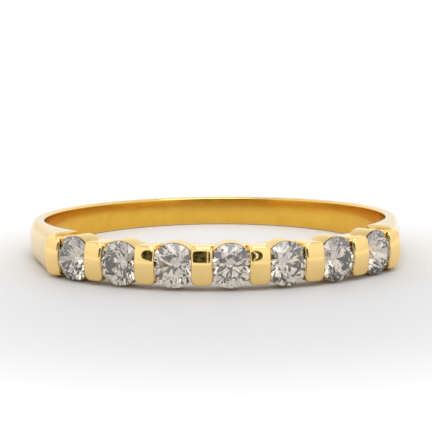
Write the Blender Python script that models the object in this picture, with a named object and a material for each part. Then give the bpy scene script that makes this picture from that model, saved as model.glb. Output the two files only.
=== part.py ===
"""Half-eternity ring: a row of round brilliants between polished crossbars, on a tapering yellow gold shank.

The ring lies on its side. The finger's axis is upright, the stones face -Y, and one filed side of the
shank is flat on the ground plane, z = 0. Lengths are in metres.
"""

import math

import bmesh
import bpy
from mathutils import Matrix, Vector

MM = 0.001

# Shank: a band with a flat inside, filed flat sides that taper to the back, and a domed outside.
FINGER_RADIUS = 8.65 * MM
SIDE_THICKNESS = 0.76 * MM
BACK_THICKNESS = 0.95 * MM
BACK_WIDTH = 1.4 * MM
FILED_MARGIN = 0.01 * MM
INNER_EDGE = 0.12 * MM
INNER_EDGE_LIMIT = 0.8
FLAT_SHARE = 0.42
SHOULDER_ARC = math.radians(26)
SHOULDER_STEP = 0.10 * MM
SHOULDER_WALL = 0.04 * MM
DOME_SQUARENESS = 2.2
SHOULDER_SQUARENESS = 4.5

# Stones: round brilliants, with their proportions as shares of the diameter.
STONE_COUNT = 7
STONE_DIAMETER = 2.2 * MM
TABLE_SHARE = 0.57
CROWN_SHARE = 0.15
GIRDLE_SHARE = 0.025
PAVILION_SHARE = 0.43
STAR_LENGTH = 0.5
LOWER_HALF_LENGTH = 0.76
CULET_ABOVE_FINGER = 0.37 * MM

# Crossbars: a polished cap on a narrower stem, lapping over the edges of the stones beside it.
BAR_WIDTH = 1.06 * MM
BAR_SETBACK = 0.13 * MM
BAR_OVERLAP = 0.23 * MM
BAR_RISE = 0.35 * MM
CAP_DEPTH = 0.48 * MM
CAP_CORNER = 0.27 * MM
CAP_FILLET = 0.12 * MM
CAP_CROWN = 0.08 * MM
STEM_INSET = 0.11 * MM
END_STEM_INSET = 0.02 * MM
STEM_SETBACK = 0.04 * MM

# Gallery: a cup behind each stone, on a thin rail round the finger.
CUP_LIP = 0.02 * MM
RIM_DROP = 0.07 * MM
RAIL_THICKNESS = 0.4 * MM
RAIL_SETBACK = 0.18 * MM
RAIL_SQUARENESS = 6.0
AZURE_LEDGE = 0.4 * MM
SEAT_CLEARANCE = 0.03 * MM

# Fineness of the meshes.
SHANK_STEPS = 64
HEAD_STEPS_PER_STONE = 4
EDGE_STEPS = 2
DOME_STEPS = 4
STONE_SIDES = 32
CUP_SIDES = 32
CORNER_SEGMENTS = 4
FILLET_SEGMENTS = 3
CROWN_CUTS = 3

# What follows from them.
STONE_RADIUS = STONE_DIAMETER / 2
TABLE_RADIUS = TABLE_SHARE * STONE_RADIUS
CROWN_HEIGHT = CROWN_SHARE * STONE_DIAMETER
PAVILION_DEPTH = PAVILION_SHARE * STONE_DIAMETER
GIRDLE_HALF = GIRDLE_SHARE * STONE_DIAMETER / 2
GIRDLE_RADIUS = FINGER_RADIUS + CULET_ABOVE_FINGER + PAVILION_DEPTH + GIRDLE_HALF
BAR_TOP_RADIUS = GIRDLE_RADIUS + BAR_RISE
STONE_SPACING = STONE_DIAMETER + BAR_WIDTH - 2 * BAR_OVERLAP
STONE_PITCH = 2 * math.asin(STONE_SPACING / 2 / GIRDLE_RADIUS)
END_BAR_ANGLE = STONE_PITCH * STONE_COUNT / 2
BAR_LENGTH = STONE_DIAMETER - 2 * BAR_SETBACK
CUP_RADIUS = STONE_RADIUS + CUP_LIP
AZURE_RADIUS = STONE_RADIUS - AZURE_LEDGE
ROOT_RADIUS = FINGER_RADIUS + RAIL_THICKNESS / 2
BACK_RADIUS = FINGER_RADIUS + BACK_THICKNESS
END_CUP_Y = -FINGER_RADIUS * math.cos(END_BAR_ANGLE - STONE_PITCH / 2)
TAPER = (CUP_RADIUS + FILED_MARGIN - BACK_WIDTH / 2) / (BACK_RADIUS - END_CUP_Y)
RAIL_END = END_BAR_ANGLE - SHOULDER_WALL / GIRDLE_RADIUS
SHOULDER_THICKNESS = BAR_TOP_RADIUS - SHOULDER_STEP - FINGER_RADIUS

GOLD = ("yellow_gold", (0.93, 0.68, 0.24, 1.0), 0.12, 1.0)
DIAMOND = ("diamond", (0.92, 0.91, 0.90, 1.0), 0.02, 0.0)


def clear_scene():
    """Removes whatever the file opened with."""
    for obj in list(bpy.data.objects):
        bpy.data.objects.remove(obj)


def make_material(name, colour, roughness, metallic):
    """A plain Principled BSDF material."""
    material = bpy.data.materials.new(name)
    material.use_nodes = True
    shader = material.node_tree.nodes["Principled BSDF"]
    shader.inputs["Base Color"].default_value = colour
    shader.inputs["Roughness"].default_value = roughness
    shader.inputs["Metallic"].default_value = metallic
    return material


def make_object(name, bm, collection, material=None):
    """An object from a bmesh, smooth where its faces nearly line up."""
    mesh = bpy.data.meshes.new(name)
    bm.to_mesh(mesh)
    bm.free()
    mesh.shade_smooth()
    mesh.set_sharp_from_angle(angle=math.radians(30))
    if material:
        mesh.materials.append(material)
    obj = bpy.data.objects.new(name, mesh)
    collection.objects.link(obj)
    return obj


def helper(obj):
    """Marks a piece that only shapes another one."""
    obj.hide_render = True
    obj.display_type = "WIRE"
    return obj


def around(angle, radius=0.0):
    """The frame at an angle from the middle stone: its +Z points away from the finger, its +Y along it."""
    outward = Vector((math.sin(angle), -math.cos(angle), 0))
    along = Vector((0, 0, 1))
    across = along.cross(outward)
    turn = Matrix((across, along, outward)).transposed().to_4x4()
    return Matrix.Translation(outward * radius) @ turn


def smooth_step(x):
    """0 to 1 with no kink at either end."""
    x = min(1.0, max(0.0, x))
    return x * x * (3 - 2 * x)


def filed_half_width(y):
    """Half the shank's width at a depth: its sides are two planes, just outside the end stones' cups."""
    return BACK_WIDTH / 2 + TAPER * (BACK_RADIUS - y)


def rail_half_width(y):
    """Half the rail's width, the same all along."""
    return STONE_RADIUS - RAIL_SETBACK


def shank_size(angle):
    """Thickness of the shank, and how square its outside is, at an angle from the middle stone."""
    from_front = min(angle, 2 * math.pi - angle)
    to_back = smooth_step((from_front - math.pi / 2) / (math.pi / 2))
    plain = SIDE_THICKNESS + (BACK_THICKNESS - SIDE_THICKNESS) * to_back
    shoulder = max(0.0, 1 - (from_front - END_BAR_ANGLE) / SHOULDER_ARC) ** 2
    thickness = plain + (SHOULDER_THICKNESS - plain) * shoulder
    return thickness, DOME_SQUARENESS + (SHOULDER_SQUARENESS - DOME_SQUARENESS) * shoulder


def half_section(thickness, squareness):
    """(height above the finger, share of the half width, inset), from the inner edge to the dome's top."""
    points = []
    flat = FLAT_SHARE * thickness
    edge = min(INNER_EDGE, INNER_EDGE_LIMIT * flat)
    for step in range(EDGE_STEPS + 1):
        turn = math.pi / 2 * step / EDGE_STEPS
        points.append((edge * (1 - math.cos(turn)), 1.0, edge * (1 - math.sin(turn))))
    for step in range(DOME_STEPS + 1):
        turn = math.pi / 2 * step / DOME_STEPS
        lift = flat + (thickness - flat) * math.sin(turn) ** (2 / squareness)
        points.append((lift, max(0.0, math.cos(turn)) ** (2 / squareness), 0.0))
    return points


def section_points(angle, thickness, squareness, half_width):
    """The whole section at an angle, from one edge of the inside, over the outside, to the other."""
    half = []
    for lift, share, inset in half_section(thickness, squareness):
        radius = FINGER_RADIUS + lift
        x, y = radius * math.sin(angle), -radius * math.cos(angle)
        half.append((x, y, share * half_width(y) - inset))
    lower = [(x, y, -z) for x, y, z in reversed(half[:-1])]
    return half[:-1] + [(half[-1][0], half[-1][1], 0.0)] + lower


def make_band(collection, material):
    """The shank and, between its shoulders, the rail that carries the cups, as one closed ring."""
    sections = []
    head_steps = HEAD_STEPS_PER_STONE * STONE_COUNT
    for step in range(head_steps + 1):
        angle = RAIL_END * (2 * step / head_steps - 1)
        sections.append(section_points(angle, RAIL_THICKNESS, RAIL_SQUARENESS, rail_half_width))
    for step in range(SHANK_STEPS + 1):
        angle = END_BAR_ANGLE + 2 * (math.pi - END_BAR_ANGLE) * step / SHANK_STEPS
        sections.append(section_points(angle, *shank_size(angle), filed_half_width))
    bm = bmesh.new()
    loops = [[bm.verts.new(point) for point in section] for section in sections]
    for first, second in zip(loops, loops[1:] + loops[:1]):
        for i in range(len(first)):
            j = (i + 1) % len(first)
            bm.faces.new((first[i], first[j], second[j], second[i]))
    return make_object("gold_mount", bm, collection, material)


def make_cup(index, angle, collection):
    """The round gold cup behind a stone."""
    top = GIRDLE_RADIUS - GIRDLE_HALF - RIM_DROP
    bm = bmesh.new()
    bmesh.ops.create_cone(
        bm,
        cap_ends=True,
        segments=CUP_SIDES,
        radius1=CUP_RADIUS,
        radius2=CUP_RADIUS,
        depth=top - ROOT_RADIUS,
    )
    bm.transform(around(angle, (top + ROOT_RADIUS) / 2))
    return helper(make_object(f"cup_{index}", bm, collection))


def make_stem(index, angle, inset, collection):
    """The block that carries a crossbar's cap."""
    top = BAR_TOP_RADIUS - CAP_DEPTH / 2
    size = (BAR_WIDTH - 2 * inset, BAR_LENGTH - 2 * STEM_SETBACK, top - ROOT_RADIUS)
    bm = bmesh.new()
    bmesh.ops.create_cube(bm, size=1.0, matrix=Matrix.Diagonal((*size, 1.0)))
    bm.transform(around(angle, (top + ROOT_RADIUS) / 2))
    return helper(make_object(f"stem_{index}", bm, collection))


def make_cap(index, angle, collection):
    """A crossbar's polished cap: round corners, a fillet round its face, and a face lower at its ends."""
    size = (BAR_WIDTH, BAR_LENGTH, CAP_DEPTH)
    bm = bmesh.new()
    bmesh.ops.create_cube(bm, size=1.0, matrix=Matrix.Diagonal((*size, 1.0)))
    upright = [e for e in bm.edges if abs(e.verts[0].co.z - e.verts[1].co.z) > CAP_DEPTH / 2]
    bmesh.ops.bevel(
        bm, geom=upright, offset=CAP_CORNER, segments=CORNER_SEGMENTS, profile=0.5, affect="EDGES"
    )
    rim = [e for e in bm.edges if min(v.co.z for v in e.verts) > CAP_DEPTH / 4]
    bmesh.ops.bevel(
        bm, geom=rim, offset=CAP_FILLET, segments=FILLET_SEGMENTS, profile=0.5, affect="EDGES"
    )
    for cut in range(CROWN_CUTS):
        share = (cut + 1) / (CROWN_CUTS + 1) - 0.5
        bmesh.ops.bisect_plane(
            bm,
            geom=bm.verts[:] + bm.edges[:] + bm.faces[:],
            plane_co=(0, share * BAR_LENGTH, 0),
            plane_no=(0, 1, 0),
            dist=1e-8,
        )
    for vert in bm.verts:
        if vert.co.z > 0:
            vert.co.z -= CAP_CROWN * (vert.co.y / (BAR_LENGTH / 2)) ** 2
    bm.transform(around(angle, BAR_TOP_RADIUS - CAP_DEPTH / 2))
    return helper(make_object(f"cap_{index}", bm, collection))


def make_seat_cutter(index, angle, collection):
    """What is cut away for a stone: the stone's own outline with its clearance, and the hole behind it."""
    side = 1 / math.cos(math.pi / STONE_SIDES)
    slope = PAVILION_DEPTH / STONE_RADIUS
    rim = STONE_RADIUS * side + SEAT_CLEARANCE
    hole_top = -GIRDLE_HALF - slope * (rim - AZURE_RADIUS)
    profile = [
        (AZURE_RADIUS, FINGER_RADIUS - RAIL_THICKNESS - GIRDLE_RADIUS),
        (AZURE_RADIUS, hole_top),
        (rim, -GIRDLE_HALF - SEAT_CLEARANCE),
        (rim, GIRDLE_HALF + SEAT_CLEARANCE),
        (TABLE_RADIUS * side + SEAT_CLEARANCE, GIRDLE_HALF + CROWN_HEIGHT + SEAT_CLEARANCE),
    ]
    bm = bmesh.new()
    loops = []
    for radius, height in profile:
        loop = []
        for step in range(STONE_SIDES):
            turn = 2 * math.pi * step / STONE_SIDES
            point = (radius * math.cos(turn), radius * math.sin(turn), height)
            loop.append(bm.verts.new(point))
        loops.append(loop)
    for lower, upper in zip(loops, loops[1:]):
        for i in range(STONE_SIDES):
            j = (i + 1) % STONE_SIDES
            bm.faces.new((lower[i], lower[j], upper[j], upper[i]))
    bm.faces.new(reversed(loops[0]))
    bm.faces.new(loops[-1])
    bm.transform(around(angle, GIRDLE_RADIUS))
    return helper(make_object(f"seat_{index}", bm, collection))


def ring_of_points(count, start, radius, height):
    """Points evenly round the stone's axis."""
    turns = [start + 2 * math.pi * i / count for i in range(count)]
    return [Vector((radius * math.cos(t), radius * math.sin(t), height)) for t in turns]


def make_stone(index, angle, collection, material):
    """A round brilliant: table, stars, bezels and upper halves, a girdle, then lower halves and mains."""
    eighth = math.pi / 8
    star_radius = TABLE_RADIUS * math.cos(eighth)
    star_radius += STAR_LENGTH * (STONE_RADIUS - star_radius)
    bezel_slope = CROWN_HEIGHT / (STONE_RADIUS - TABLE_RADIUS)
    star_height = bezel_slope * (STONE_RADIUS - star_radius * math.cos(eighth))
    lower_radius = (1 - LOWER_HALF_LENGTH) * STONE_RADIUS
    lower_depth = PAVILION_DEPTH * (1 - lower_radius * math.cos(eighth) / STONE_RADIUS)
    points = ring_of_points(8, 0, TABLE_RADIUS, GIRDLE_HALF + CROWN_HEIGHT)
    points += ring_of_points(8, eighth, star_radius, GIRDLE_HALF + star_height)
    points += ring_of_points(STONE_SIDES, 0, STONE_RADIUS, GIRDLE_HALF)
    points += ring_of_points(STONE_SIDES, 0, STONE_RADIUS, -GIRDLE_HALF)
    points += ring_of_points(8, eighth, lower_radius, -GIRDLE_HALF - lower_depth)
    points.append(Vector((0, 0, -GIRDLE_HALF - PAVILION_DEPTH)))
    bm = bmesh.new()
    verts = [bm.verts.new(point / MM) for point in points]
    bmesh.ops.convex_hull(bm, input=verts)
    bm.transform(around(angle, GIRDLE_RADIUS) @ Matrix.Scale(MM, 4))
    stone = make_object(f"diamond_{index}", bm, collection, material)
    stone.data.shade_flat()
    return stone


def add_boolean(obj, name, operation, collection):
    """Joins a collection of helpers to an object, or cuts it with them."""
    modifier = obj.modifiers.new(name, "BOOLEAN")
    modifier.operation = operation
    modifier.operand_type = "COLLECTION"
    modifier.collection = collection
    modifier.solver = "EXACT"


def lay_on_side(pieces, collection):
    """Rests the filed side on the ground, with the origin under the middle of the ring's outline."""
    rest = bpy.data.objects.new("resting_ring", None)
    collection.objects.link(rest)
    tilt = -math.atan(TAPER)
    middle = (BACK_RADIUS - GIRDLE_RADIUS - GIRDLE_HALF - CROWN_HEIGHT) / 2
    height = filed_half_width(0) * math.cos(tilt)
    rest.rotation_euler = (tilt, 0, 0)
    rest.location = (0, -middle * math.cos(tilt), height)
    for piece in pieces:
        piece.parent = rest


def new_collection(name):
    """An empty collection in the scene."""
    collection = bpy.data.collections.new(name)
    bpy.context.scene.collection.children.link(collection)
    return collection


def main():
    """Builds the gold and the stones, and lays the ring on its side."""
    clear_scene()
    ring = new_collection("ring")
    joined = new_collection("joined_to_mount")
    cutters = new_collection("cut_from_mount")
    gold = make_material(*GOLD)
    diamond = make_material(*DIAMOND)
    mount = make_band(ring, gold)
    pieces = [mount]
    for index in range(STONE_COUNT):
        angle = STONE_PITCH * (index - (STONE_COUNT - 1) / 2)
        pieces.append(make_cup(index + 1, angle, joined))
        pieces.append(make_seat_cutter(index + 1, angle, cutters))
        pieces.append(make_stone(index + 1, angle, ring, diamond))
    for index in range(STONE_COUNT + 1):
        angle = STONE_PITCH * (index - STONE_COUNT / 2)
        at_end = index in (0, STONE_COUNT)
        inset = END_STEM_INSET if at_end else STEM_INSET
        pieces.append(make_stem(index + 1, angle, inset, joined))
        pieces.append(make_cap(index + 1, angle, joined))
    add_boolean(mount, "solder", "UNION", joined)
    add_boolean(mount, "seats", "DIFFERENCE", cutters)
    lay_on_side(pieces, ring)


main()
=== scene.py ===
"""Half-eternity ring in yellow gold, lying on its side on a pale floor.

The ring is built in its own frame, in millimetres: the finger's axis is Z, and the middle stone faces -Y.
Each finished piece is then scaled to metres and laid down on the side of its shank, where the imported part
lies.
"""

import logging
import math
from collections.abc import Callable, Iterator, Sequence
from contextlib import contextmanager
from dataclasses import dataclass, field
from enum import Enum

import bmesh
import bpy
from mathutils import Matrix, Vector


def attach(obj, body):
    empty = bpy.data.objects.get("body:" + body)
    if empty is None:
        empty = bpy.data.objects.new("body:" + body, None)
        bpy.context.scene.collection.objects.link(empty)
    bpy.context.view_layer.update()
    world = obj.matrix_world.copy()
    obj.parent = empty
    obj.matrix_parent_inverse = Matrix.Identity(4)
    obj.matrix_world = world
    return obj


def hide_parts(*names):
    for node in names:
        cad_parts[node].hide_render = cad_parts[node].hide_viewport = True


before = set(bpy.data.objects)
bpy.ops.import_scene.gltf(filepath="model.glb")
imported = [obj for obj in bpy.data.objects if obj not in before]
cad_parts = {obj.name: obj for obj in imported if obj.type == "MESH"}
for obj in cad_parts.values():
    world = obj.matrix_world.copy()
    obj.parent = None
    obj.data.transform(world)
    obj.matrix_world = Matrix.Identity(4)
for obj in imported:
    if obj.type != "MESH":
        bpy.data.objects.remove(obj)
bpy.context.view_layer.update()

LOG = logging.getLogger("ring")

MM = 0.001
BODY = "root"
FACING = 0.9
"""The least cosine between two directions that count as the same."""
HAIR = 1e-4
"""A length too small to matter."""
QUAD = 4
"""The corners of a plain face."""
QUARTER = math.pi / 2
"""A quarter turn."""
HOMOGENEOUS = 4
"""The size of a matrix that turns and moves."""

Colour = tuple[float, float, float, float]
Point = tuple[float, float, float]
Span = tuple[float, float]
Object = bpy.types.Object
Material = bpy.types.Material
NodeTree = bpy.types.NodeTree
Node = bpy.types.Node
Socket = bpy.types.NodeSocket
Inputs = dict[str | int, object]


def turned(angle: float, axis: str = "Z") -> Matrix:
    """A turn about an axis."""
    return Matrix.Rotation(angle, HOMOGENEOUS, axis)


TO_FRONT = turned(QUARTER, "X")
"""Turns a piece modelled upright, its face towards +Z, so that it faces -Y with its +Y along the finger."""


class Slot(Enum):
    """The record's material slots."""

    GOLD = "yellow_gold"
    DIAMOND = "diamond"


class BarPlace(Enum):
    """Where a crossbar stands in the row, which decides the stones that its sides are cut for."""

    LEFT_END = (1,)
    MIDDLE = (-1, 1)
    RIGHT_END = (-1,)


class Cut(Enum):
    """What a Boolean does with its second piece."""

    JOIN = "UNION"
    REMOVE = "DIFFERENCE"


# ---- Sizes that the pieces share


@dataclass(frozen=True)
class StoneRow:
    """The row of stones that every other size follows from, in millimetres."""

    count: int = 7
    diameter: float = 2.2
    table: float = 1.254
    crown: float = 0.33
    girdle: float = 0.055
    pavilion: float = 0.946
    clearance: float = 0.03
    finger_radius: float = 8.65
    culet_above_finger: float = 0.37
    bar_width: float = 1.06
    bar_overlap: float = 0.23
    cup_radius: float = 1.12
    root_lift: float = 0.2

    @property
    def radius(self) -> float:
        """Radius of a stone."""
        return self.diameter / 2

    @property
    def girdle_radius(self) -> float:
        """Distance of the girdles from the finger's axis."""
        return self.finger_radius + self.culet_above_finger + self.pavilion + self.girdle / 2

    @property
    def pitch(self) -> float:
        """Angle from one stone to the next."""
        spacing = self.diameter + self.bar_width - 2 * self.bar_overlap
        return 2 * math.asin(spacing / 2 / self.girdle_radius)

    @property
    def end_angle(self) -> float:
        """Angle from the middle stone to the last crossbar."""
        return self.pitch * self.count / 2

    def stone_angle(self, index: int) -> float:
        """Angle of a stone from the middle one, positive to the right. 0 is the one furthest left."""
        return self.pitch * (index - (self.count - 1) / 2)

    def bar_angle(self, index: int) -> float:
        """Angle of a crossbar from the middle stone, positive to the right. 0 is the one furthest left."""
        return self.pitch * (index - self.count / 2)


@dataclass(frozen=True)
class Taper:
    """The two filed planes that the sides of the shank lie in, and how the ring rests on one of them."""

    row: StoneRow
    back_radius: float = 9.6
    back_width: float = 1.4
    margin: float = 0.01

    @property
    def slope(self) -> float:
        """How much half the width grows with each millimetre from the back towards the stones."""
        run = self.back_radius + self.row.finger_radius * math.cos(self.row.end_angle - self.row.pitch / 2)
        return (self.row.cup_radius + self.margin - self.back_width / 2) / run

    def half_width(self, y: float) -> float:
        """Half the width of the shank at a depth from the finger's axis, negative towards the stones."""
        return self.back_width / 2 + self.slope * (self.back_radius - y)

    @property
    def rest(self) -> Matrix:
        """The ring's place at rest.

        Returns:
            Scales it to metres and lays it on the side of its shank, centred over the origin.
        """
        tilt = -math.atan(self.slope)
        front = self.row.girdle_radius + self.row.girdle / 2 + self.row.crown
        middle = (self.back_radius - front) / 2
        place = Vector((0, -middle * math.cos(tilt), self.half_width(0) * math.cos(tilt)))
        return Matrix.Scale(MM, HOMOGENEOUS) @ Matrix.Translation(place) @ turned(tilt, "X")


# ---- The bench: operators, selections and Booleans


class Bench:
    """Where meshes are worked on, one object at a time."""

    @staticmethod
    def clear() -> None:
        """Leaves nothing selected."""
        bpy.ops.object.select_all(action="DESELECT")

    @staticmethod
    def take(name: str) -> Object:
        """Names the primitive that was just added.

        Args:
            name: The name of the object and of its mesh.

        Returns:
            The primitive's object.
        """
        obj = bpy.context.object
        obj.name = name
        obj.data.name = name
        return obj

    @staticmethod
    def activate(obj: Object) -> None:
        """Selects one object alone.

        Args:
            obj: The object, made the active one too.
        """
        Bench.clear()
        obj.select_set(True)
        bpy.context.view_layer.objects.active = obj

    @staticmethod
    @contextmanager
    def editing(obj: Object, mode: str = "FACE") -> Iterator[bmesh.types.BMesh]:
        """Edit mode on one object.

        Args:
            obj: The object to edit.
            mode: What is selected: VERT, EDGE or FACE.

        Yields:
            The mesh being edited, for selecting by place.
        """
        Bench.activate(obj)
        bpy.ops.object.mode_set(mode="EDIT")
        bpy.ops.mesh.select_mode(type=mode)
        yield bmesh.from_edit_mesh(obj.data)
        bpy.ops.object.mode_set(mode="OBJECT")

    @staticmethod
    def pick(mesh: bmesh.types.BMesh, elements: Sequence, test: Callable[..., bool]) -> None:
        """Selects the elements that pass a test, and nothing else.

        Args:
            mesh: The mesh in edit mode.
            elements: Its verts, edges or faces.
            test: Says whether an element is wanted.
        """
        bpy.ops.mesh.select_all(action="DESELECT")
        for element in elements:
            if test(element):
                element.select_set(True)
        mesh.select_flush_mode()

    @staticmethod
    def combine(obj: Object, tool: Object, cut: Cut) -> None:
        """Joins a tool to an object or cuts it away, and removes the tool.

        Args:
            obj: The object that is kept.
            tool: The object that is used up.
            cut: What is done with the tool.
        """
        Bench.activate(obj)
        modifier = obj.modifiers.new("combine", "BOOLEAN")
        modifier.object = tool
        modifier.operation = cut.value
        modifier.solver = "EXACT"
        bpy.ops.object.modifier_apply(modifier=modifier.name)
        bpy.data.objects.remove(tool)

    @staticmethod
    def join(parts: Sequence[Object]) -> Object:
        """Makes several objects one.

        Args:
            parts: The objects, the first of which gives the name.

        Returns:
            The joined object.
        """
        Bench.activate(parts[0])
        for part in parts:
            part.select_set(True)
        bpy.ops.object.join()
        return parts[0]

    @staticmethod
    def copy(obj: Object, name: str, turn: Matrix) -> Object:
        """Copies an object with a mesh of its own.

        Args:
            obj: The object that is copied.
            name: The copy's name.
            turn: Where the copy goes, put into its mesh.

        Returns:
            The copy.
        """
        mesh = obj.data.copy()
        mesh.name = name
        mesh.transform(turn)
        return Bench.put(name, mesh)

    @staticmethod
    def put(name: str, data: bpy.types.ID) -> Object:
        """Puts a mesh, a lamp or a camera into the scene.

        Args:
            name: The object's name.
            data: What the object holds.

        Returns:
            The object.
        """
        obj = bpy.data.objects.new(name, data)
        bpy.context.scene.collection.objects.link(obj)
        return obj

    @staticmethod
    def close(obj: Object) -> None:
        """Fills the holes of a mesh and turns its faces outwards.

        Args:
            obj: The mesh's object.
        """
        with Bench.editing(obj, "VERT"):
            bpy.ops.mesh.select_all(action="SELECT")
            bpy.ops.mesh.fill_holes(sides=0)
            bpy.ops.mesh.select_all(action="SELECT")
            bpy.ops.mesh.normals_make_consistent(inside=False)

    @staticmethod
    def smooth(obj: Object, below: float) -> None:
        """Shades smooth wherever faces meet at less than an angle."""
        Bench.activate(obj)
        bpy.ops.object.shade_smooth_by_angle(angle=below)

    @staticmethod
    def stack(obj: Object, floor: float, profile: Sequence[Point]) -> None:
        """Raises the top of an upright piece through a row of sections, extruding and scaling its top face.

        Args:
            obj: The piece, centred on the upright axis.
            floor: Height of its top face now.
            profile: Each new section's height, and its size across and along as shares of the last one.
        """
        with Bench.editing(obj) as mesh:
            lowest = floor - HAIR
            Bench.pick(mesh, mesh.faces, lambda f: f.normal.z > FACING and f.calc_center_median().z > lowest)
            height = floor
            for top, across, along in profile:
                bpy.ops.mesh.extrude_region_move(TRANSFORM_OT_translate={"value": (0, 0, top - height)})
                bpy.ops.transform.resize(value=(across, along, 1), center_override=(0, 0, top))
                height = top


# ---- Finishes


class NodeSheet:
    """Adds and links the nodes of one shader tree."""

    MIX_COLOURS = (6, 7)
    MIX_RESULT = 2

    @classmethod
    def of_material(cls, name: str) -> tuple[Material, "NodeSheet", Node]:
        """Starts a material.

        Args:
            name: Its name.

        Returns:
            The material, its sheet and its Principled BSDF.
        """
        material = bpy.data.materials.new(name)
        material.use_nodes = True
        return material, cls(material.node_tree), material.node_tree.nodes["Principled BSDF"]

    def __init__(self, tree: NodeTree) -> None:
        """Keeps the node tree to fill."""
        self.tree = tree

    def add(self, kind: str, inputs: Inputs | None = None, **settings: object) -> Node:
        """Adds a node.

        Args:
            kind: The node's type.
            inputs: Values for its sockets. See fill.
            **settings: Its settings by name.

        Returns:
            The node.
        """
        node = self.tree.nodes.new(kind)
        for name, value in settings.items():
            setattr(node, name, value)
        self.fill(node, inputs or {})
        return node

    def fill(self, node: Node, inputs: Inputs) -> None:
        """Sets a node's sockets.

        Args:
            node: The node.
            inputs: Values for its sockets, by name or number. A value that is a socket is linked.
        """
        for name, value in inputs.items():
            if isinstance(value, Socket):
                self.tree.links.new(value, node.inputs[name])
            else:
                node.inputs[name].default_value = value

    def place(self) -> Socket:
        """The place on the surface, in Object coordinates."""
        return self.add("ShaderNodeTexCoord").outputs["Object"]

    def reckon(self, kind: str, operation: str, *terms: object) -> Socket:
        """Adds a calculation with numbers or vectors, and gives its result."""
        return self.add(kind, dict(enumerate(terms)), operation=operation).outputs[0]

    def blend(self, share: Socket, first: Colour, second: Colour) -> Socket:
        """Blends two colours.

        Args:
            share: How much of the second colour is wanted.
            first: The first colour.
            second: The second colour.

        Returns:
            The socket that gives the blend.
        """
        inputs = {"Factor": share, **dict(zip(self.MIX_COLOURS, (first, second)))}
        return self.add("ShaderNodeMix", inputs, data_type="RGBA").outputs[self.MIX_RESULT]


class PolishMarks:
    """The hairlines and faint smears that a polishing wheel leaves, shared by every finish of the ring."""

    NAME = "polish_marks"
    HAIRLINES = {"Scale": 1.0, "Detail": 5.0, "Roughness": 0.6}
    SMEARS = {"Scale": 1.4, "Detail": 3.0, "Roughness": 0.5}

    @classmethod
    def group(cls) -> NodeTree:
        """Gives the shader group, built on its first use."""
        return bpy.data.node_groups.get(cls.NAME) or cls.build()

    @classmethod
    def build(cls) -> NodeTree:
        """Builds the group.

        Returns:
            A group with inputs Stretch, Roughness and Spread, and outputs Roughness, Height and Smear.
        """
        tree = bpy.data.node_groups.new(cls.NAME, "ShaderNodeTree")
        face = tree.interface
        face.new_socket("Stretch", in_out="INPUT", socket_type="NodeSocketVector")
        face.new_socket("Roughness", in_out="INPUT", socket_type="NodeSocketFloat")
        face.new_socket("Spread", in_out="INPUT", socket_type="NodeSocketFloat")
        for name in ("Roughness", "Height", "Smear"):
            face.new_socket(name, in_out="OUTPUT", socket_type="NodeSocketFloat")
        sheet = NodeSheet(tree)
        given = sheet.add("NodeGroupInput")
        vectors, numbers = "ShaderNodeVectorMath", "ShaderNodeMath"
        in_mm = sheet.reckon(vectors, "MULTIPLY", sheet.place(), (1 / MM,) * 3)
        drawn = sheet.reckon(vectors, "MULTIPLY", in_mm, given.outputs["Stretch"])
        hairlines = sheet.add("ShaderNodeTexNoise", {"Vector": drawn, **cls.HAIRLINES}).outputs[0]
        smears = sheet.add("ShaderNodeTexNoise", {"Vector": in_mm, **cls.SMEARS}).outputs[0]
        both = sheet.reckon(numbers, "MULTIPLY", hairlines, smears)
        share = sheet.reckon(numbers, "MULTIPLY_ADD", both, given.outputs["Spread"], 1.0)
        rough = sheet.reckon(numbers, "MULTIPLY", share, given.outputs["Roughness"])
        sheet.add("NodeGroupOutput", {"Roughness": rough, "Height": hairlines, "Smear": smears})
        return tree

    @classmethod
    def on(cls, sheet: NodeSheet, finish: "GoldFinish | DiamondFinish") -> Node:
        """Places the group in a finish's material."""
        values = {"Stretch": finish.stretch, "Roughness": finish.roughness, "Spread": finish.spread}
        return sheet.add("ShaderNodeGroup", values, node_tree=cls.group())


@dataclass(frozen=True)
class GoldFinish:
    """Polished yellow gold."""

    name: str
    colour: Colour = (0.97, 0.705, 0.30, 1.0)
    colour_in_smears: Colour = (0.92, 0.64, 0.245, 1.0)
    roughness: float = 0.05
    spread: float = 0.9
    stretch: Point = (5.0, 5.0, 0.8)
    mark_depth: float = 2.0e-7

    def material(self) -> Material:
        """Builds the material.

        Returns:
            Metal whose colour, roughness and marks vary over the surface.
        """
        material, sheet, shader = NodeSheet.of_material(self.name)
        marks = PolishMarks.on(sheet, self)
        tone = sheet.blend(marks.outputs["Smear"], self.colour, self.colour_in_smears)
        bump = sheet.add("ShaderNodeBump", {"Height": marks.outputs["Height"], "Distance": self.mark_depth})
        sheet.fill(shader, {"Base Color": tone, "Roughness": marks.outputs["Roughness"]})
        sheet.fill(shader, {"Normal": bump.outputs["Normal"], "Metallic": 1.0})
        return material


@dataclass(frozen=True)
class DiamondFinish:
    """Cut and polished diamond, near colourless, with a grey and warm tint: the grey is painted shade, the
    warm tone partly the stone's own and partly a painted reflection of gold.
    """

    name: str = "cut_diamond"
    clear: Colour = (0.812, 0.745, 0.652, 1.0)
    warm_tint_and_gold_reflection: Colour = (0.67, 0.58, 0.478, 1.0)
    roughness: float = 0.004
    spread: float = 1.0
    refraction: float = 2.417
    stretch: Point = (1.9, 1.9, 1.9)

    def material(self) -> Material:
        """Builds the material.

        Returns:
            Clear glass of diamond's refraction, its pale grey warmer in some places than in others.
        """
        material, sheet, shader = NodeSheet.of_material(self.name)
        marks = PolishMarks.on(sheet, self)
        # Painted shade and painted reflection: the grey tint darkens the light through the stones, and the
        # warm tone stands in partly for gold mirrored in them.
        tone = sheet.blend(marks.outputs["Height"], self.clear, self.warm_tint_and_gold_reflection)
        sheet.fill(shader, {"Base Color": tone, "Roughness": marks.outputs["Roughness"]})
        sheet.fill(shader, {"Transmission Weight": 1.0, "IOR": self.refraction})
        return material


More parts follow.
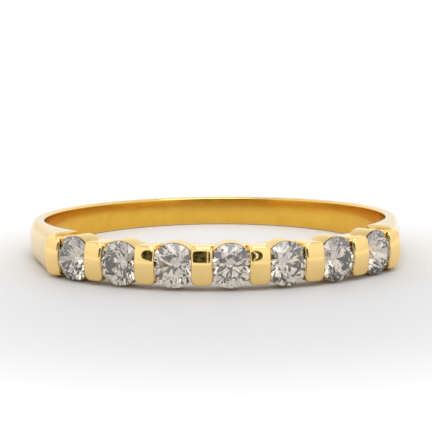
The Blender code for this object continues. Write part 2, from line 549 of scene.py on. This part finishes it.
POLISHED = GoldFinish("polished_gold")
"""The crossbars."""
WORN_AND_SHADED = GoldFinish(
    "worn_shaded_gold",
    # Darker than the polished gold: painted shade on the shank's sides.
    colour=(0.85, 0.63, 0.275, 1.0),
    colour_in_smears=(0.78, 0.56, 0.22, 1.0),
    roughness=0.09,
    stretch=(9.0, 9.0, 0.8),
)
# The outside of the shank and the gallery: rougher than the crossbars from wear, and darker, as painted shade
# on the shank's sides.
"""The outside of the shank and the gallery."""
DRAWN_AND_REFLECTED = GoldFinish(
    "drawn_reflected_gold",
    # Deep amber: painted reflection of gold facing the wall.
    colour=(0.86, 0.54, 0.10, 1.0),
    colour_in_smears=(0.74, 0.40, 0.04, 1.0),
    roughness=0.14,
    stretch=(9.0, 9.0, 0.35),
    mark_depth=1.2e-6,
)
# The wall that the finger touches: drawn streaks and rougher, with a deep amber colour that is painted
# reflection of gold walls facing it.
"""The wall that the finger touches."""


# ---- The gold


@dataclass
class Band:
    """A band round the finger: flat inside, with flat sides and an outside that is domed across."""

    row: StoneRow
    name: str
    flat_share: float = 0.42
    inner_edge: float = 0.12
    edge_steps: int = 5
    dome_steps: int = 12

    def size_at(self, angle: float) -> Span:
        """Thickness of the band at an angle from the middle stone, and the power of its outside's curve."""
        raise NotImplementedError

    def half_width(self, y: float) -> float:
        """Half the width of the band at a depth from the finger's axis, negative towards the stones."""
        raise NotImplementedError

    def section(self, angle: float) -> list[Point]:
        """The closed outline of the band at an angle.

        Args:
            angle: Angle from the middle stone.

        Returns:
            The outline's points, from the inner edge over the outside to the other inner edge.
        """
        thickness, power = self.size_at(angle)
        flat = self.flat_share * thickness
        half: list[Point] = []
        for step in range(self.edge_steps + 1):
            turn = QUARTER * step / self.edge_steps
            lift = self.inner_edge * (1 - math.cos(turn))
            half.append((lift, 1.0, self.inner_edge * (1 - math.sin(turn))))
        for step in range(self.dome_steps + 1):
            turn = QUARTER * step / self.dome_steps
            lift = flat + (thickness - flat) * math.sin(turn) ** (2 / power)
            half.append((lift, max(0.0, math.cos(turn)) ** (2 / power), 0.0))
        points: list[Point] = []
        for lift, share, inset in half:
            radius = self.row.finger_radius + lift
            x = radius * math.sin(angle)
            y = -radius * math.cos(angle)
            points.append((x, y, share * self.half_width(y) - inset))
        return points + [(x, y, -z) for x, y, z in reversed(points[:-1])]

    def build_arc(self, start: float, end: float, steps: int) -> Object:
        """Spins the band from one angle to another.

        A circle is put into the outline of the first section and spun about the finger's axis. Each section
        is then drawn to its own thickness, width and dome, which no operator does.

        Args:
            start: First angle from the middle stone.
            end: Last angle.
            steps: How many lengths the arc is made of.

        Returns:
            The band, closed at both ends.
        """
        first = self.section(start)
        Bench.clear()
        bpy.ops.mesh.primitive_circle_add(vertices=len(first), radius=1.0)
        band = Bench.take(self.name)
        for vertex, place in zip(band.data.vertices, first):
            vertex.co = place
        with Bench.editing(band, "VERT"):
            bpy.ops.mesh.select_all(action="SELECT")
            bpy.ops.mesh.spin(steps=steps, angle=end - start, center=(0, 0, 0), axis=(0, 0, -1))
        for step in range(steps + 1):
            outline = self.section(start + (end - start) * step / steps)
            for number, place in enumerate(outline):
                band.data.vertices[step * len(first) + number].co = place
        Bench.close(band)
        return band


@dataclass
class Shank(Band):
    """The shank: thin at the sides, a little thicker at the back, with shoulders at the end crossbars."""

    taper: Taper | None = None
    side_thickness: float = 0.76
    back_thickness: float = 0.95
    shoulder_thickness: float = 1.5935
    shoulder_arc: float = math.radians(26)
    dome_power: float = 2.2
    shoulder_power: float = 4.5
    end_round: float = 0.05
    end_round_steps: int = 3
    steps: int = 168
    smooth_below: float = math.radians(35)

    def size_at(self, angle: float) -> Span:
        """Thickness and dome of the shank.

        Args:
            angle: See Band.

        Returns:
            See Band.
        """
        from_front = min(angle, 2 * math.pi - angle)
        share = min(1.0, max(0.0, (from_front - QUARTER) / QUARTER))
        plain = self.side_thickness
        plain += (self.back_thickness - self.side_thickness) * share * share * (3 - 2 * share)
        rise = max(0.0, 1 - (from_front - self.row.end_angle) / self.shoulder_arc) ** 2
        thickness = plain + (self.shoulder_thickness - plain) * rise
        return thickness, self.dome_power + (self.shoulder_power - self.dome_power) * rise

    def half_width(self, y: float) -> float:
        """Half the width between the filed planes. See Band."""
        return self.taper.half_width(y)

    def build(self) -> Object:
        """Builds the shank from one end crossbar round the back to the other.

        Returns:
            The shank, with a small round on the edges of its ends.
        """
        shank = self.build_arc(self.row.end_angle, 2 * math.pi - self.row.end_angle, self.steps)
        with Bench.editing(shank, "EDGE") as mesh:
            Bench.pick(
                mesh,
                mesh.edges,
                lambda e: len(e.link_faces) == 2 and max(len(f.verts) for f in e.link_faces) > QUAD,
            )
            bpy.ops.mesh.bevel(offset=self.end_round, segments=self.end_round_steps, affect="EDGES")
        Bench.smooth(shank, self.smooth_below)
        return shank


@dataclass
class Rail(Band):
    """The thin rail round the finger that carries the cups."""

    thickness: float = 0.4
    width: float = 1.84
    power: float = 6.0
    tuck: float = 0.01
    steps: int = 84

    def size_at(self, angle: float) -> Span:
        """The rail's thickness and dome, the same all along. See Band."""
        return self.thickness, self.power

    def half_width(self, y: float) -> float:
        """Half the rail's width, the same all along. See Band."""
        return self.width / 2

    def build(self) -> Object:
        """Builds the rail between the shoulders, its ends a little way inside them."""
        reach = self.row.end_angle + self.tuck
        return self.build_arc(-reach, reach, self.steps)


@dataclass
class SeatCutter:
    """The burr that cuts a stone's seat: the stone's outline with its clearance, and the hole behind it."""

    row: StoneRow
    hole_radius: float = 0.7
    reach: float = 1.75
    sides: int = 64

    def build(self, name: str, angle: float) -> Object:
        """Builds one cutter.

        Args:
            name: Its name.
            angle: The angle of its stone from the middle one.

        Returns:
            The cutter, in place.
        """
        row = self.row
        slope = row.pavilion / row.radius
        rim = row.radius + row.clearance
        below = -row.girdle / 2
        hole_top = below - slope * (rim - self.hole_radius)
        table = row.table / 2 + row.clearance
        sections = [
            (hole_top, self.hole_radius),
            (below - row.clearance, rim),
            (row.girdle / 2 + row.clearance, rim),
            (row.girdle / 2 + row.crown + row.clearance, table),
        ]
        Bench.clear()
        bpy.ops.mesh.primitive_cylinder_add(
            vertices=self.sides, radius=self.hole_radius, depth=hole_top + self.reach
        )
        cutter = Bench.take(name)
        cutter.data.transform(Matrix.Translation((0, 0, (hole_top - self.reach) / 2)))
        profile = []
        for (_, last), (height, radius) in zip(sections, sections[1:]):
            profile.append((height, radius / last, radius / last))
        Bench.stack(cutter, hole_top, profile)
        lift = Matrix.Translation((0, 0, row.girdle_radius))
        cutter.data.transform(turned(angle) @ TO_FRONT @ lift)
        return cutter


@dataclass
class Gallery:
    """The rail and the round cups behind the stones, open through to the finger."""

    row: StoneRow
    rim_drop: float = 0.07
    rim_round: float = 0.012
    rim_round_steps: int = 2
    cup_sides: int = 96
    smooth_below: float = math.radians(30)

    def build_cup(self, index: int) -> Object:
        """Builds one cup as a plug that its seat is cut into later.

        Args:
            index: The number of its stone, from 0.

        Returns:
            The plug, in place.
        """
        root = self.row.finger_radius + self.row.root_lift
        top = self.row.girdle_radius - self.row.girdle / 2 - self.rim_drop
        Bench.clear()
        bpy.ops.mesh.primitive_cylinder_add(
            vertices=self.cup_sides, radius=self.row.cup_radius, depth=top - root, end_fill_type="NGON"
        )
        cup = Bench.take(f"cup_{index + 1}")
        with Bench.editing(cup, "EDGE") as mesh:
            Bench.pick(mesh, mesh.edges, lambda e: min(v.co.z for v in e.verts) > 0)
            bpy.ops.mesh.bevel(offset=self.rim_round, segments=self.rim_round_steps, affect="EDGES")
        lift = Matrix.Translation((0, 0, (top + root) / 2))
        cup.data.transform(turned(self.row.stone_angle(index)) @ TO_FRONT @ lift)
        return cup

    def build(self) -> Object:
        """Builds the rail with all its cups.

        Returns:
            The gallery, one closed mesh.
        """
        gallery = Rail(self.row, "gallery").build()
        stones = range(self.row.count)
        Bench.combine(gallery, Bench.join([self.build_cup(i) for i in stones]), Cut.JOIN)
        burr = SeatCutter(self.row)
        cutters = [burr.build(f"seat_{i + 1}", self.row.stone_angle(i)) for i in stones]
        Bench.combine(gallery, Bench.join(cutters), Cut.REMOVE)
        Bench.smooth(gallery, self.smooth_below)
        return gallery


@dataclass
class Crossbar:
    """A polished crossbar: a pillow-shaped cap on a narrower stem, notched for the stones beside it."""

    row: StoneRow
    setback: float = 0.13
    rise: float = 0.35
    cap_depth: float = 0.48
    corner: float = 0.29
    fillet: float = 0.13
    crown_along: float = 0.16
    crown_across: float = 0.03
    stem_inset: float = 0.11
    end_stem_inset: float = 0.02
    stem_setback: float = 0.04
    corner_steps: int = 10
    straight_steps: int = 8
    fillet_steps: int = 8
    face_steps: int = 10
    stem_round_steps: int = 4
    smooth_below: float = math.radians(32)

    @property
    def length(self) -> float:
        """Length of the cap along the finger."""
        return self.row.diameter - 2 * self.setback

    @property
    def top(self) -> float:
        """Distance of the cap's middle from the finger's axis."""
        return self.row.girdle_radius + self.rise

    def outline(self) -> list[Span]:
        """The cap's outline seen from the front.

        Returns:
            Points round a rectangle with round corners, anticlockwise.
        """
        across = self.row.bar_width / 2 - self.corner
        along = self.length / 2 - self.corner
        points: list[Span] = []
        corners = ((across, along), (-across, along), (-across, -along), (across, -along))
        for quarter, (x, y) in enumerate(corners):
            for step in range(self.corner_steps + 1):
                turn = QUARTER * (quarter + step / self.corner_steps)
                points.append((x + self.corner * math.cos(turn), y + self.corner * math.sin(turn)))
            far_x, far_y = corners[(quarter + 1) % len(corners)]
            turn = QUARTER * (quarter + 1)
            offset = (self.corner * math.cos(turn), self.corner * math.sin(turn))
            for step in range(1, self.straight_steps):
                share = step / self.straight_steps
                points.append((x + (far_x - x) * share + offset[0], y + (far_y - y) * share + offset[1]))
        return points

    def build_cap(self) -> Object:
        """Builds the cap upright, its middle at the cap's top height.

        Returns:
            A filled outline, raised and drawn in over its fillet, then closed with a crowned face.
        """
        outline = self.outline()
        half_width = self.row.bar_width / 2
        half_length = self.length / 2
        Bench.clear()
        bpy.ops.mesh.primitive_circle_add(vertices=len(outline), radius=1.0, fill_type="NGON")
        cap = Bench.take("cap")
        base = self.top - self.cap_depth
        for vertex, (x, y) in zip(cap.data.vertices, outline):
            vertex.co = (x, y, base)
        profile = [(self.top - self.fillet, 1.0, 1.0)]
        drawn_in = 0.0
        for step in range(1, self.fillet_steps + 1):
            turn = QUARTER * step / self.fillet_steps
            inset = self.fillet * (1 - math.cos(turn))
            across = (half_width - inset) / (half_width - drawn_in)
            along = (half_length - inset) / (half_length - drawn_in)
            profile.append((self.top - self.fillet * (1 - math.sin(turn)), across, along))
            drawn_in = inset
        for step in range(1, self.face_steps):
            share = (self.face_steps - step) / (self.face_steps - step + 1)
            profile.append((self.top, share, share))
        Bench.stack(cap, base, profile)
        with Bench.editing(cap) as mesh:
            Bench.pick(mesh, mesh.faces, lambda f: f.normal.z > FACING and len(f.verts) > QUAD)
            bpy.ops.mesh.poke()
        for vertex in cap.data.vertices:
            share = (vertex.co.z - base) / self.cap_depth
            drop = self.crown_along * (vertex.co.y / half_length) ** 2
            drop += self.crown_across * (vertex.co.x / half_width) ** 2
            vertex.co.z -= drop * share
        Bench.close(cap)
        return cap

    def build_stem(self, place: BarPlace) -> Object:
        """Builds the stem under a cap.

        Args:
            place: Where the crossbar stands.

        Returns:
            The stem, upright.
        """
        inset = self.stem_inset if place is BarPlace.MIDDLE else self.end_stem_inset
        root = self.row.finger_radius + self.row.root_lift
        top = self.top - self.cap_depth / 2
        Bench.clear()
        bpy.ops.mesh.primitive_cube_add(size=1.0)
        stem = Bench.take("stem")
        size = (self.row.bar_width - 2 * inset, self.length - 2 * self.stem_setback, top - root)
        with Bench.editing(stem, "EDGE") as mesh:
            bpy.ops.mesh.select_all(action="SELECT")
            bpy.ops.transform.resize(value=size, center_override=(0, 0, 0))
            bpy.ops.transform.translate(value=(0, 0, (top + root) / 2))
            Bench.pick(mesh, mesh.edges, lambda e: abs(e.verts[0].co.z - e.verts[1].co.z) > self.fillet)
            bpy.ops.mesh.bevel(offset=self.fillet / 2, segments=self.stem_round_steps, affect="EDGES")
        return stem

    def build(self, place: BarPlace) -> Object:
        """Builds one crossbar at the front of the ring, where the middle stone is.

        Args:
            place: Where the crossbar stands.

        Returns:
            The crossbar, ready to be copied round.
        """
        bar = self.build_cap()
        Bench.combine(bar, self.build_stem(place), Cut.JOIN)
        bar.data.transform(TO_FRONT)
        burr = SeatCutter(self.row)
        for side in place.value:
            Bench.combine(bar, burr.build("notch", side * self.row.pitch / 2), Cut.REMOVE)
        Bench.smooth(bar, self.smooth_below)
        return bar

    def build_all(self) -> list[Object]:
        """Builds the whole row of crossbars.

        Returns:
            The crossbars from left to right.
        """
        patterns = {place: self.build(place) for place in BarPlace}
        middles = [BarPlace.MIDDLE] * (self.row.count - 1)
        bars = []
        for index, place in enumerate([BarPlace.LEFT_END, *middles, BarPlace.RIGHT_END]):
            turn = turned(self.row.bar_angle(index))
            bars.append(Bench.copy(patterns[place], f"crossbar_{index + 1}", turn))
        for pattern in patterns.values():
            bpy.data.objects.remove(pattern)
        return bars


# ---- The stones


@dataclass
class Brilliant:
    """A round brilliant, cut facet by facet from a round blank."""

    row: StoneRow
    star_share: float = 0.5
    lower_half_share: float = 0.76
    folds: int = 8
    blank_sides: int = 96
    turns: tuple[float, ...] = (0.0, 0.31, -0.17, 0.09, 0.38, -0.26, 0.2)
    cut_reach: float = 1e-6
    weld: float = 1e-5

    def facets(self) -> list[tuple[Vector, Vector]]:
        """The planes of all the facets but the table.

        Returns:
            For each facet a point on it and its outward normal.
        """
        row = self.row
        radius, table, half_girdle = row.radius, row.table / 2, row.girdle / 2
        half_fold = math.pi / self.folds
        table_flat = table * math.cos(half_fold)
        star = table_flat + self.star_share * (radius - table_flat)
        star_height = row.crown * (radius - star * math.cos(half_fold)) / (radius - table)
        lower = (1 - self.lower_half_share) * radius
        lower_depth = row.pavilion * (1 - lower * math.cos(half_fold) / radius)
        table_top = half_girdle + row.crown
        culet = Vector((0, 0, -half_girdle - row.pavilion))

        def at(distance: float, turn: float, height: float) -> Vector:
            """A point from its distance from the axis, its turn round it and its height."""
            return Vector((distance * math.cos(turn), distance * math.sin(turn), height))

        spans: list[tuple[Vector, Vector, Vector]] = []
        for fold in range(self.folds):
            turn = fold * 2 * half_fold
            middle = turn + half_fold
            following = turn + 2 * half_fold
            side = Vector((-math.sin(turn), math.cos(turn), 0))
            corner = at(table, turn, table_top)
            star_tip = at(star, middle, half_girdle + star_height)
            lower_tip = at(lower, middle, -half_girdle - lower_depth)
            spans.append((corner, at(radius, turn, half_girdle), side))
            spans.append((at(radius, turn, -half_girdle), culet, side))
            spans.append((corner, star_tip, at(table, following, table_top) - corner))
            for edge in (turn, following):
                for level, tip in ((half_girdle, star_tip), (-half_girdle, lower_tip)):
                    foot = at(radius, middle, level)
                    spans.append((tip, foot, at(radius, edge, level) - foot))
        planes = []
        for first, second, along in spans:
            normal = (second - first).cross(along).normalized()
            if normal.dot(first) < 0:
                normal.negate()
            planes.append((first, normal))
        return planes

    def build_pattern(self) -> Object:
        """Cuts one stone, upright, its girdle at height 0.

        Returns:
            The stone, flat shaded.
        """
        row = self.row
        top = row.girdle / 2 + row.crown
        bottom = -row.girdle / 2 - row.pavilion
        Bench.clear()
        bpy.ops.mesh.primitive_cylinder_add(vertices=self.blank_sides, radius=row.radius, depth=top - bottom)
        stone = Bench.take("brilliant")
        stone.data.transform(Matrix.Translation((0, 0, (top + bottom) / 2)))
        with Bench.editing(stone):
            for place, normal in self.facets():
                bpy.ops.mesh.select_all(action="SELECT")
                bpy.ops.mesh.bisect(
                    plane_co=place, plane_no=normal, use_fill=True, clear_outer=True, threshold=self.cut_reach
                )
            bpy.ops.mesh.select_all(action="SELECT")
            bpy.ops.mesh.remove_doubles(threshold=self.weld)
            bpy.ops.mesh.normals_make_consistent(inside=False)
        Bench.activate(stone)
        bpy.ops.object.shade_flat()
        return stone

    def build_all(self) -> list[Object]:
        """Cuts all the stones.

        Returns:
            The stones from left to right, each turned a little differently about its own axis.
        """
        pattern = self.build_pattern()
        seat = TO_FRONT @ Matrix.Translation((0, 0, self.row.girdle_radius))
        stones = []
        for index, turn in enumerate(self.turns):
            place = turned(self.row.stone_angle(index)) @ seat @ turned(turn)
            stones.append(Bench.copy(pattern, f"brilliant_{index + 1}", place))
        bpy.data.objects.remove(pattern)
        return stones


# ---- The studio


@dataclass(frozen=True)
class Card:
    """A curved dark card behind the camera, seen only where a piece mirrors it: a painted dark reflection
    that glows faintly.

    Its angles are counted from the camera's, and its gaps are shares of its width. The metal mirrors it only
    if seen_by_metal is set. The stones always do.
    """

    name: str
    azimuth: Span
    elevation: Span
    gaps: tuple[Span, ...] = ()
    seen_by_metal: bool = True


@dataclass(frozen=True)
class Softbox:
    """A square softbox that faces the ring: its place round it, distance and side in metres, and power."""

    name: str = "softbox_top"
    azimuth: float = math.radians(10)
    elevation: float = math.radians(68)
    distance: float = 0.45
    size: float = 0.35
    watts: float = 0.6


@dataclass
class Studio:
    """A pale floor with a painted shadow round the ring, a soft surround, a softbox overhead, two dark cards
    that only the ring's reflections and refractions show, and the camera, in metres.
    """

    aim: Vector
    distance: float = 0.2
    azimuth: float = math.radians(-4.38)
    elevation: float = math.radians(10.2)
    roll: float = math.radians(-0.36)
    view_width: float = 0.021985
    image_width: int = 432
    ring_in_image: Span = (214.9, 235.2)
    sensor: float = 36.0
    clip: Span = (0.01, 10.0)
    floor_radius: float = 3.0
    floor_sides: int = 96
    floor_roughness: float = 0.6
    floor_specular: float = 0.2
    floor_colour: Colour = (0.90, 0.90, 0.90, 1.0)
    # Painted shadow: the floor's colour close to the ring, centred a little in front of it.
    painted_shadow_colour: Colour = (0.66, 0.655, 0.66, 1.0)
    painted_shadow_centre: Point = (0.0, -0.012, 0.0)
    painted_shadow_reach: Span = (0.006, 0.032)
    sky_levels: tuple[Span, ...] = ((0.0, 0.80), (0.3, 0.97), (0.45, 0.97), (0.75, 0.82), (1.0, 0.64))
    sky_strength: float = 1.2
    softbox: Softbox = Softbox()
    # The cards glow faintly between these tones: painted dark reflection, mottled.
    card_dark_glow: Colour = (0.02, 0.02, 0.012, 1.0)
    card_light_glow: Colour = (0.16, 0.15, 0.10, 1.0)
    card_mottle: float = 22.0
    card_detail: float = 3.0
    card_tones: Span = (0.42, 0.68)
    card_grid: tuple[int, int] = (80, 16)
    card_distance: float = 0.5
    card_squareness: float = 3.2
    cards: tuple[Card, ...] = (
        Card(
            "dark_reflection_card",
            azimuth=(math.radians(-43), math.radians(27.5)),
            elevation=(math.radians(-9.4), math.radians(12)),
            gaps=((0.60, 0.63), (0.89, 0.925)),
        ),
        # Not mirrored by the metal, seen only through the stones: painted shade that darkens them.
        Card(
            "stone_shade_card",
            azimuth=(math.radians(-44), math.radians(20)),
            elevation=(math.radians(12), math.radians(46)),
            seen_by_metal=False,
        ),
    )

    def direction(self, azimuth: float, elevation: float) -> Vector:
        """The way from the ring to a place. Azimuth is 0 in front of it, and positive to the right."""
        flat = math.cos(elevation)
        return Vector((math.sin(azimuth) * flat, -math.cos(azimuth) * flat, math.sin(elevation)))

    def build_floor(self) -> None:
        """Builds the floor: a wide pale disc, with a painted shadow round the ring, darkest a little in front
        of it.
        """
        Bench.clear()
        bpy.ops.mesh.primitive_circle_add(
            vertices=self.floor_sides, radius=self.floor_radius, fill_type="NGON"
        )
        floor = Bench.take("floor")
        material, sheet, shader = NodeSheet.of_material("pale_floor")
        # Painted shadow: the floor greys towards a point just in front of the ring, in place of the ring's
        # own soft shadow.
        inputs = {0: sheet.place(), 1: self.painted_shadow_centre}
        away = sheet.add("ShaderNodeVectorMath", inputs, operation="DISTANCE")
        near, far = self.painted_shadow_reach
        painted_shadow_share = sheet.add(
            "ShaderNodeMapRange",
            {"Value": away.outputs["Value"], "From Min": near, "From Max": far},
            interpolation_type="SMOOTHSTEP",
        )
        tone = sheet.blend(painted_shadow_share.outputs[0], self.painted_shadow_colour, self.floor_colour)
        sheet.fill(shader, {"Base Color": tone, "Roughness": self.floor_roughness})
        sheet.fill(shader, {"Specular IOR Level": self.floor_specular})
        floor.data.materials.append(material)

    def build_card_material(self) -> Material:
        """Builds the cards' finish: a faint glow that paints mottled dark reflections into the gold and
        stones.

        Returns:
            A faint glow of uneven dark tones.
        """
        material, sheet, shader = NodeSheet.of_material("card_dark_glow")
        nodes = material.node_tree.nodes
        nodes.remove(shader)
        inputs = {"Vector": sheet.place(), "Scale": self.card_mottle, "Detail": self.card_detail}
        mottle = sheet.add("ShaderNodeTexNoise", inputs).outputs[0]
        low, high = self.card_tones
        tone = sheet.add("ShaderNodeMapRange", {"Value": mottle, "From Min": low, "From Max": high})
        colour = sheet.blend(tone.outputs[0], self.card_dark_glow, self.card_light_glow)
        glow = sheet.add("ShaderNodeEmission", {"Color": colour})
        sheet.fill(nodes["Material Output"], {"Surface": glow.outputs[0]})
        return material

    def build_card(self, card: Card, material: Material) -> None:
        """Builds one dark card, curved, with rounded corners and its gaps cut out.

        Args:
            card: Where it stands and what mirrors it.
            material: Its finish.
        """
        columns, rows = self.card_grid
        power = self.card_squareness
        Bench.clear()
        bpy.ops.mesh.primitive_grid_add(x_subdivisions=columns, y_subdivisions=rows, size=2.0)
        sheet = Bench.take(card.name)
        with Bench.editing(sheet) as mesh:
            Bench.pick(
                mesh,
                mesh.faces,
                lambda f: any(near < (f.calc_center_median().x + 1) / 2 < far for near, far in card.gaps),
            )
            bpy.ops.mesh.delete(type="FACE")
        for vertex in sheet.data.vertices:
            x, y = abs(vertex.co.x), abs(vertex.co.y)
            inward = max(x, y) / max(HAIR, (x**power + y**power) ** (1 / power))
            across = (vertex.co.x * inward + 1) / 2
            up = (vertex.co.y * inward + 1) / 2
            azimuth = self.azimuth + card.azimuth[0] + across * (card.azimuth[1] - card.azimuth[0])
            elevation = self.elevation + card.elevation[0] + up * (card.elevation[1] - card.elevation[0])
            vertex.co = self.aim + self.card_distance * self.direction(azimuth, elevation)
        sheet.data.materials.append(material)
        # Hidden from the camera, from shadows and from diffuse light: the card shows only as painted dark
        # reflection and refraction.
        sheet.visible_camera = False
        sheet.visible_shadow = False
        sheet.visible_diffuse = False
        sheet.visible_glossy = card.seen_by_metal

    def build_light(self, box: Softbox) -> None:
        """Adds a softbox.

        Args:
            box: The softbox.
        """
        lamp = bpy.data.lights.new(box.name, "AREA")
        lamp.shape = "SQUARE"
        lamp.size = box.size
        lamp.energy = box.watts
        light = Bench.put(box.name, lamp)
        back = self.direction(box.azimuth, box.elevation)
        light.location = self.aim + box.distance * back
        light.rotation_mode = "QUATERNION"
        light.rotation_quaternion = (-back).to_track_quat("-Z", "Y")

    def build_surround(self) -> None:
        """Lights the scene softly from all round, and shows colours plainly."""
        world = bpy.data.worlds.new("surround")
        world.use_nodes = True
        sheet = NodeSheet(world.node_tree)
        direction = sheet.add("ShaderNodeTexCoord").outputs["Generated"]
        height = sheet.add("ShaderNodeSeparateXYZ", {0: direction}).outputs["Z"]
        ramp = sheet.add("ShaderNodeValToRGB", {"Fac": height})
        stops = ramp.color_ramp.elements
        while len(stops) < len(self.sky_levels):
            stops.new(position=0.5)
        for stop, (place, level) in zip(stops, self.sky_levels):
            stop.position = place
            stop.color = (level, level, level, 1.0)
        back = world.node_tree.nodes["Background"]
        sheet.fill(back, {"Color": ramp.outputs["Color"], "Strength": self.sky_strength})
        scene = bpy.context.scene
        scene.world = world
        scene.view_settings.view_transform = "Standard"

    def build_camera(self) -> None:
        """Puts the camera where the photograph was taken from."""
        lens = bpy.data.cameras.new("camera")
        lens.sensor_width = self.sensor
        lens.lens = self.sensor * self.distance / self.view_width
        lens.clip_start, lens.clip_end = self.clip
        camera = Bench.put("camera", lens)
        back = self.direction(self.azimuth, self.elevation)
        turn = (-back).to_track_quat("-Z", "Y")
        camera.location = self.aim + self.distance * back
        pixel = self.view_width / self.image_width
        across = (self.image_width / 2 - self.ring_in_image[0]) * pixel
        up = (self.ring_in_image[1] - self.image_width / 2) * pixel
        centre = self.aim + turn @ Vector((across, up, 0))
        view = (centre - camera.location).normalized()
        camera.rotation_mode = "QUATERNION"
        roll = turned(self.roll).to_quaternion()
        camera.rotation_quaternion = view.to_track_quat("-Z", "Y") @ roll
        bpy.context.scene.camera = camera

    def build(self) -> None:
        """Builds the floor, the cards, the softbox, the surround and the camera."""
        self.build_floor()
        finish = self.build_card_material()
        for card in self.cards:
            self.build_card(card, finish)
        self.build_light(self.softbox)
        self.build_surround()
        self.build_camera()


# ---- The whole ring


@dataclass
class Ring:
    """The ring: its pieces, and how each is laid down, dressed and named to the frame."""

    row: StoneRow = field(default_factory=StoneRow)
    wall_depth: float = 0.03

    @property
    def taper(self) -> Taper:
        """The ring's filed planes and its place at rest."""
        return Taper(self.row)

    def line(self, piece: Object, lining: Material) -> None:
        """Gives the wall that the finger touches a finish of its own.

        Args:
            piece: A band that has its outer finish already, in the ring's own frame.
            lining: The finish of the wall.
        """
        piece.data.materials.append(lining)
        for face in piece.data.polygons:
            distance = face.center.xy.length
            faces_in = face.normal.xy.dot(face.center.xy) < -FACING * distance
            if faces_in and distance < self.row.finger_radius + self.wall_depth:
                face.material_index = 1

    def settle(self, piece: Object, materials: Sequence[Material], node: str | None) -> None:
        """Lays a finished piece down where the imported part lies, and dresses it.

        Args:
            piece: The piece, in the ring's own frame.
            materials: Its finish, and that of the wall towards the finger if it has its own.
            node: The CAD node that it stands for, if it stands for one.
        """
        piece.data.materials.clear()
        piece.data.materials.append(materials[0])
        for lining in materials[1:]:
            self.line(piece, lining)
        piece.data.transform(self.taper.rest)
        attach(piece, BODY)
        if node:
            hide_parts(node)
        LOG.info("%s: %d faces", piece.name, len(piece.data.polygons))

    def build(self) -> None:
        """Builds, dresses and lays down every piece of the ring."""
        polished, worn_and_shaded, drawn = (finish.material() for finish in (POLISHED, WORN_AND_SHADED, DRAWN_AND_REFLECTED))
        diamond = DiamondFinish().material()
        shank = Shank(self.row, "shank", taper=self.taper).build()
        self.settle(shank, [worn_and_shaded, drawn], "gold_mount")
        self.settle(Gallery(self.row).build(), [worn_and_shaded, drawn], None)
        for bar in Crossbar(self.row).build_all():
            self.settle(bar, [polished], None)
        for index, stone in enumerate(Brilliant(self.row).build_all()):
            self.settle(stone, [diamond], f"diamond_{index + 1}")


def corners(box: Sequence[Vector]) -> list[list[float]]:
    """The lowest and highest corner of a box as plain lists."""
    return [[float(value) for value in corner] for corner in box]


def main() -> None:
    """Builds the ring and its studio."""
    logging.basicConfig(level=logging.INFO, format="%(name)s: %(message)s")
    ring = Ring()
    ring.build()
    aim = ring.taper.rest @ Vector((0, 0, 0))
    Studio(aim).build()


if __name__ == "__main__":
    main()
